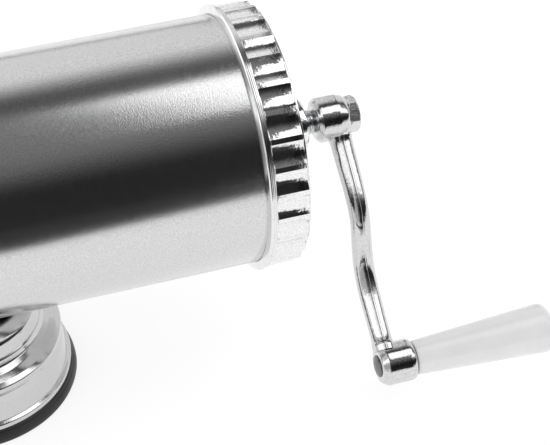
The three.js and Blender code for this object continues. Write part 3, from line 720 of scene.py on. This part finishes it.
def make_grip():
    """The grip swells towards its rounded end, and is bored from its small end for the pin."""
    start, end = span("crank_grip", 0)
    small, large, bore, depth = 7.0, 10.3, 3.3, 44
    body = [(start, bore, 0.3), (start, small, 0.9), (end - 2.2, large, 3.2), (end, 7.2, 2.5), (end, 0)]
    outline = stretched(softened(body, 0.3, 8, False), 3, False)
    outline += [(start + depth, 0), (start + depth, bore)]
    add_turned("grip_moulding", outline, PIN, "grip", "crank_grip", WHITE, 128)


def make_grip_pin():
    """The pin, its head riveted over on the boss's inner face."""
    start, end = span("grip_pin", 0)
    seat, shank = BOSS_START - 0.05, 3
    pin = [(start, 0), (start + 0.15, 1.6, 1), (seat - 0.7, 3.9, 0.8), (seat - 0.25, 4.5, 0.3), (seat, 4.6),
           (seat, shank, 0.1), (end, shank, 0.6), (end, 0)]
    add_turned("grip_rivet", softened(pin, 0.2, 4, False), PIN, "screw", "grip_pin",
               DULL_STEEL, 64, closed=False)


# ---------------------------------------------------------------- nozzle
def forward_span(node):
    """Start and end of a node along FORWARD, from its end nearest the barrel."""
    low, high = span(node, 0)
    return -high, -low


def make_nozzle():
    """A flange that stands on the spigot, a rounded shoulder, and a long thin taper."""
    back, tip = forward_span("nozzle_tube")
    front = back + 2
    outline = [(back, 12, 0.3), (back, 15, 0.3), (front, 15, 0.5), (front, 13.4, 0.6), (front + 12, 13, 12),
               (tip, 8.6, 0.6), (tip, 7.2, 0.5), (front + 12, 11.6, 12)]
    add_turned("nozzle_moulding", stretched(softened(outline, 0.3, 5), 8), FORWARD, "nozzle", "nozzle_tube",
               WHITE, 128)
    start, end = forward_span("nozzle_gasket")
    add_turned("nozzle_seal", ring(start, end, 15, 12.5, 0.3), FORWARD, "nozzle", "nozzle_gasket",
               SILICONE)


def make_nozzle_nut():
    """A ring nut with hollow flutes and a smooth rounded face."""
    start, end = forward_span("nozzle_nut")
    outer, bore, lip, lip_thick, depth, flutes, land = 21.5, 15.6, 14, 2.4, 1.1, 12, 12
    outline = [(start, bore, 0.3), (start, outer, 1), (end - 1.9, outer, 0.8),
               (end - 1.7, outer - depth - 0.2, 0.3), (end, 19.4, 1.4), (end, lip, 0.8),
               (end - lip_thick, lip, 0.3), (end - lip_thick, bore, 0.3)]
    rim = fluted(flutes, land, depth, 0, outer - depth - 0.1)
    item = turned("nozzle_ring_nut", softened(outline, 0.3, 5), FORWARD, shape=rim,
                  angles=flute_angles(flutes, land, 0, 22), smooth_angle=24)
    finished(item, "nozzle_nut", ["nozzle_nut"], CAST_CHROME)


# ---------------------------------------------------------------- saddle and base
SADDLE_INNER, SADDLE_OUTER = BARREL + 0.05, BARREL + 1.8
SADDLE_ACROSS, SADDLE_STEP = 28, 0.02


def saddle_rows():
    """Places along the saddle, each with the angles under the barrel that it spans there."""
    half_length, half_width, straight = span("saddle_plate", 0)[1], span("saddle_plate", 1)[1], 26.0
    tip_share = 0.0004
    rows = []
    for u in steps_between(-1, 1, SADDLE_STEP):
        x = half_length * math.sin(u * math.pi / 2)
        past = max(0, abs(x) - straight) / (half_length - straight)
        width = half_width * math.sqrt(max(tip_share, 1 - past ** 1.6))
        sides = [width * (2 * k / SADDLE_ACROSS - 1) for k in range(SADDLE_ACROSS + 1)]
        rows.append((x, [math.asin(side / SADDLE_OUTER) for side in sides]))
    return rows


def make_saddle():
    """A plate bent to the barrel's own curve, its ends drawn in to a blunt point."""
    rows = saddle_rows()
    vertices, faces = [], []
    for radius in (SADDLE_OUTER, SADDLE_INNER):
        for x, angles in rows:
            vertices += [Vector((x, radius * math.sin(a), AXIS - radius * math.cos(a))) * MM
                         for a in angles]
    wide, long = SADDLE_ACROSS + 1, len(rows)
    layer = wide * long
    for i in range(long - 1):
        for j in range(SADDLE_ACROSS):
            a, b = i * wide + j, (i + 1) * wide + j
            faces += [(a, a + 1, b + 1, b), (layer + a, layer + b, layer + b + 1, layer + a + 1)]
    border = list(range(SADDLE_ACROSS)) + [i * wide + SADDLE_ACROSS for i in range(long - 1)]
    border += [(long - 1) * wide + j for j in range(SADDLE_ACROSS, 0, -1)]
    border += [i * wide for i in range(long - 1, 0, -1)]
    for a, b in zip(border, border[1:] + border[:1]):
        faces.append((a, b, layer + b, layer + a))
    item = make_object("saddle_cradle", vertices, faces, 40)
    round_edges(item, 0.45, 3, 50)
    finished(item, "root", ["saddle_plate"], PRESSED)


SHELL_OUTSIDE = [           # from the rim up: rim, waist, ledge, hollow, bead, dome, top
    (6.1, 42.4, 0.2), (6.2, 43.25, 0.3), (8.3, 43.2, 0.9), (9.2, 41.7, 0.6), (11.5, 41.35, 2),
    (17.5, 40.5, 3), (20.6, 39.6, 1.2), (21.8, 39.0, 0.4), (22.5, 40.2, 0.7), (24.8, 40.3, 1.2),
    (26.3, 38.3, 1.2), (27.9, 35.5, 4), (29.6, 33.3, 2.2), (31.5, 32.4, 0.5), (31.9, 32.95, 0.35),
    (32.5, 32.6, 0.35), (32.9, 32.2, 0.3), (38.5, 31.0, 5), (42.2, 26.6, 3.5), (42.2, 6, 0.5), (42.2, 0),
]
SHELL_INSIDE = [            # from the top down
    (41, 0), (41, 21), (38.6, 27), (32.4, 31.3), (28.4, 31.9), (25.6, 36.2), (22.6, 37.9), (13, 39.9),
    (9.8, 40.3), (7.6, 41.7), (6.1, 41.2),
]


def make_shell():
    """The pressed base, with the hole in its side that the bush sits in."""
    outline = stretched(softened(SHELL_OUTSIDE, 0.5, 6, False) + SHELL_INSIDE, 2.2)
    shell = turned("pedestal", outline, UPRIGHT, 200, smooth_angle=40)
    start, end, radius = 34, 52, 5.3
    sides = [(start, 0), (start, radius), (end, radius), (end, 0)]
    hole = turned("bush_hole", sides, SHAFT, 48, closed=False)
    combine(shell, [hole], "DIFFERENCE")
    finished(shell, "root", ["pedestal_shell"], PRESSED)


def make_pad():
    """The rubber disc: a rounded foot, a groove, and the lip that the shell's rim sits in."""
    outline = [(0, 0), (0, 44.8, 0.5), (1.0, 45.2, 0.6), (2.2, 45.0, 0.8), (3.9, 44.35, 0.3),
               (4.1, 44.0, 0.2), (4.5, 44.05, 0.2), (5.3, 43.6, 0.5), (5.8, 42.9, 0.4), (5.8, 40.1),
               (3, 39), (3, 0)]
    add_turned("rubber_pad", softened(outline, 0.3, 4, False), UPRIGHT, "root", "suction_pad",
               RUBBER, 200, closed=False)


# ---------------------------------------------------------------- suction mechanism
def make_lever():
    """A flat bar, round at the shaft, and a thumb piece that is slipped over its end."""
    length, width, thick, corner, nip = 38, 13, 4, 2.5, 1
    half = width / 2
    low, high = LEVER_Y - thick / 2, LEVER_Y + thick / 2
    arc = [(half * math.cos(a), half * math.sin(a)) for a in np.linspace(-math.pi / 2, math.pi / 2, 25)]
    outline = arc + [(-length + nip, half - corner), (-length, half - corner - nip),
                     (-length, corner + nip - half), (-length + nip, corner - half)]
    bar = slab("lever_bar", outline, low, high, SHAFT, 0.7)
    finished(bar, "lever", ["suction_lever"], CHROME)

    knob_half, wall, cover, past = 7.2, 2.4, 16, 6
    start, knob_length = cover - length, cover + past
    sides = [(start - knob_length * t, knob_half * math.sqrt(1 - t ** 3.2)) for t in np.linspace(0, 1, 22)]
    outline = sides + [(x, -y) for x, y in reversed(sides[:-1])]
    knob = slab("thumb_piece", outline, low - wall, high + wall, SHAFT, 1.6)
    play, open_half, bottom = 0.1, 7.5, -length - 0.4
    hollow = [(start + 1, open_half), (bottom, open_half), (bottom, -open_half), (start + 1, -open_half)]
    slot = slab("slot", hollow, low - play, high + play, SHAFT, 0)
    knob.modifiers["rounded edges"].segments = 5
    combine(knob, [slot], "DIFFERENCE")
    finished(knob, "lever", ["lever_knob"], BLACK)


def make_lever_fittings():
    """The lever's screw, the bush in the shell's side and the cam's shaft."""
    outer = LEVER_Y + 2
    head = [(outer + 0.1, 0), (outer + 0.1, 5.2, 0.2), (outer + 1, 5.2, 1), (outer + 2.9, 3.2, 2),
            (outer + 3.1, 2.2, 0.2), (outer + 1.8, 1.9, 0.2), (outer + 1.7, 0)]
    add_turned("lever_screw_head", softened(head, 0.2, 5, False), SHAFT, "lever", "lever_screw",
               ZINC, 64, closed=False)
    start, end = span("lever_bush", 1)
    bore, sleeve, flange = 3.3, 5, 7
    bush = [(start, bore), (start, sleeve, 0.3), (end - 1.8, sleeve, 0.1), (end - 1.8, flange, 0.4),
            (end, flange, 0.6), (end, bore, 0.3)]
    add_turned("side_bush", softened(bush, 0.2, 4), SHAFT, "root", "lever_bush", WHITE, 64)
    start, end = span("cam_shaft", 1)
    shaft = [(start, 0), (start, 3, 0.4), (end, 3, 0.3), (end, 0)]
    add_turned("shaft", softened(shaft, 0.3, 3, False), SHAFT, "lever", "cam_shaft", ZINC, 48,
               closed=False)


def make_spring():
    """The return spring, wound between the yoke and the bracket."""
    low, high = span("return_spring", 2)
    wire, radius, turns, steps, travel = 0.55, 5.0, 3, 28, 3.5
    rings = []
    for i in range(turns * steps + 1):
        angle = 2 * math.pi * i / steps
        rise = low + wire + (high - low - 2 * wire) * i / (turns * steps)
        out, up = Vector((math.cos(angle), math.sin(angle), 0)), Vector(UP)
        centre = out * radius + up * rise
        rings.append([centre + out * wire * math.cos(a) + up * wire * math.sin(a)
                      for a in np.arange(12) * math.pi / 6])
    item = swept("coil_spring", rings, UPRIGHT)
    finished(item, "root", ["return_spring"], ZINC)
    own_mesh(item)


PLAIN_NODES = ("cam_bracket", "lift_stem", "eccentric_cam", "pad_core_plate")


def dress_cad_nodes():
    """Plain pressed or turned parts inside the shell keep their CAD shape, with softened edges."""
    for node in PLAIN_NODES:
        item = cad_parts[node]
        item.data.materials.clear()
        item.data.materials.append(ZINC)
        round_edges(item, 0.25, 2, 40)


# ---------------------------------------------------------------- studio
def placed(name, data, move=Matrix.Identity(4)):
    item = bpy.data.objects.new(name, data)
    scene.collection.objects.link(item)
    item.matrix_world = move
    return item


def make_camera():
    data = bpy.data.cameras.new("camera")
    data.sensor_width = 36
    data.lens = 127.36
    data.clip_start, data.clip_end = 0.05, 20
    right, up = Vector((0.95, -0.3123, 0)), Vector((0.2052, 0.6241, 0.754))
    back = right.cross(up)
    turn = Matrix((right, up, back)).transposed()
    place = Matrix.Translation((-0.05628, -0.57882, 0.57582))
    scene.camera = placed("camera", data, place @ turn.to_4x4())


def flat_sheet(name, corners, shader):
    """A flat piece of the stage, outside the part."""
    mesh = bpy.data.meshes.new(name)
    mesh.from_pydata(corners, [], [tuple(range(len(corners)))])
    sheet = placed(name, mesh)
    sheet.data.materials.append(shader.material)
    return sheet


def make_floor():
    """A pale table, bright enough to leave only a breath of shadow."""
    size = 2.5
    table = Shader("pale_table", (0.3, 0.3, 0.3), 0, 0.9, Specular_IOR_Level=0.0, Emission_Strength=0.78)
    table.bsdf.inputs["Emission Color"].default_value = (1, 1, 1, 1)
    flat_sheet("floor", [(-size, -size, 0), (size, -size, 0), (size, size, 0), (-size, size, 0)], table)


def make_flag():
    """A black card lying in front of the table's lit part, which only reflections see."""
    far, side, top = -2.4, 2.4, 0.004
    outline = [(-side, -0.3), (0.05, -0.31), (0.17, -0.375), (0.27, -0.46), (0.86, far), (-side, far)]
    card = Shader("black_card", (0.01, 0.01, 0.01), 0, 1.0)
    flag = flat_sheet("flag", [(x, y, top) for x, y in outline], card)
    flag.visible_camera = False
    flag.visible_diffuse = False
    flag.visible_shadow = False


def make_softbox():
    """A wide softbox overhead on the crank's side, turned a little about its own axis."""
    data = bpy.data.lights.new("softbox", "AREA")
    data.shape = "RECTANGLE"
    data.size, data.size_y = 0.7, 0.63
    data.energy = 2.0
    turn = Matrix.Rotation(math.radians(13), 4, "Z")
    placed("softbox", data, Matrix.Translation((0.62, -0.145, 1.1)) @ turn)


class Sky:
    """Nodes of the world. Every number in it is a brightness or a place in the direction looked in."""

    def __init__(self):
        world = bpy.data.worlds.new("studio")
        scene.world = world
        world.use_nodes = True
        self.tree = world.node_tree
        self.background = self.tree.nodes["Background"]

    def math(self, operation, a, b):
        made = self.tree.nodes.new("ShaderNodeMath")
        made.operation = operation
        for socket, value in zip(made.inputs, (a, b)):
            if isinstance(value, bpy.types.NodeSocket):
                self.tree.links.new(value, socket)
            else:
                socket.default_value = value
        return made.outputs[0]

    def steps(self, value, low, high, stops):
        """Brightness that follows (place, brightness) stops as the value goes from low to high."""
        place = self.math("DIVIDE", self.math("SUBTRACT", value, low), high - low)
        ramp = self.tree.nodes.new("ShaderNodeValToRGB")
        elements = ramp.color_ramp.elements
        for i, (at, level) in enumerate(stops):
            element = elements[i] if i < 2 else elements.new(1)
            element.position = (at - low) / (high - low)
            element.color = (level, level, level, 1)
        self.tree.links.new(place, ramp.inputs["Fac"])
        return ramp.outputs["Color"]

    def choose(self, factor, otherwise, level):
        """The level where the factor is 1, and the other brightness where it is 0."""
        rest = self.math("MULTIPLY", otherwise, self.math("SUBTRACT", 1, factor))
        return self.math("ADD", rest, self.math("MULTIPLY", factor, level))


def make_world():
    """A white studio: pale behind and overhead, with an unlit gap in front, between two lit sides."""
    sky = Sky()
    split = sky.tree.nodes.new("ShaderNodeSeparateXYZ")
    sky.tree.links.new(sky.tree.nodes.new("ShaderNodeTexCoord").outputs["Generated"], split.inputs[0])
    forwards = sky.math("MULTIPLY", split.outputs["Y"], -1)
    height = sky.math("ARCTAN2", split.outputs["Z"], forwards)      # 0 in front, pi behind
    degrees = sky.math("MULTIPLY", height, 180 / math.pi)
    gap = sky.steps(degrees, 0, 180, [
        (0, 0.02), (30, 0.02), (35, 0.045), (41, 0.085), (48, 0.145), (56, 0.2), (85, 0.23), (97, 0.2),
        (104, 0.09), (114, 0.1), (121, 0.3), (128, 0.62), (136, 0.93), (180, 0.9)])
    across = split.outputs["X"]
    seam = sky.steps(across, -1, 1, [(-1, 1), (0.295, 1), (0.31, 0.1), (0.35, 0.1), (0.36, 1), (1, 1)])
    left = sky.steps(across, -1, 1, [(-1, 0.5), (-0.48, 0.45), (-0.3, 0), (1, 0)])
    sides = sky.steps(across, -1, 1, [
        (-1, 1), (-0.26, 1), (-0.18, 0), (0.35, 0), (0.4, 1.5), (0.93, 1.5), (0.97, 0.2)])
    panels = sky.steps(degrees, 0, 180, [
        (0, 0.5), (4, 0.5), (8, 0), (48, 0), (56, 1), (76, 1), (84, 0), (180, 0)])
    front = sky.math("ADD", sky.math("MULTIPLY", gap, seam), left)
    studio = sky.math("ADD", front, sky.math("MULTIPLY", sides, panels))
    path = sky.tree.nodes.new("ShaderNodeLightPath")
    on_matt, on_camera = 0.85, 1.05
    soft = sky.choose(path.outputs["Is Diffuse Ray"], studio, on_matt)
    seen = sky.choose(path.outputs["Is Camera Ray"], soft, on_camera)
    sky.tree.links.new(seen, sky.background.inputs["Color"])


def make_studio():
    scene.view_settings.view_transform = "Standard"
    make_camera()
    make_floor()
    make_flag()
    make_world()
    make_softbox()


make_barrel()
make_collar("rear_collar", REARWARD, "rear_collar_ring")
make_collar("front_collar", FORWARD, "front_collar_ring")
make_rear_cap()
make_front_cap()
make_seals()
make_piston()
make_screw()
make_washers_and_studs()
make_nuts()
make_crank()
make_grip()
make_grip_pin()
make_nozzle()
make_nozzle_nut()
make_saddle()
make_shell()
make_pad()
make_lever()
make_lever_fittings()
make_spring()
dress_cad_nodes()
make_studio()
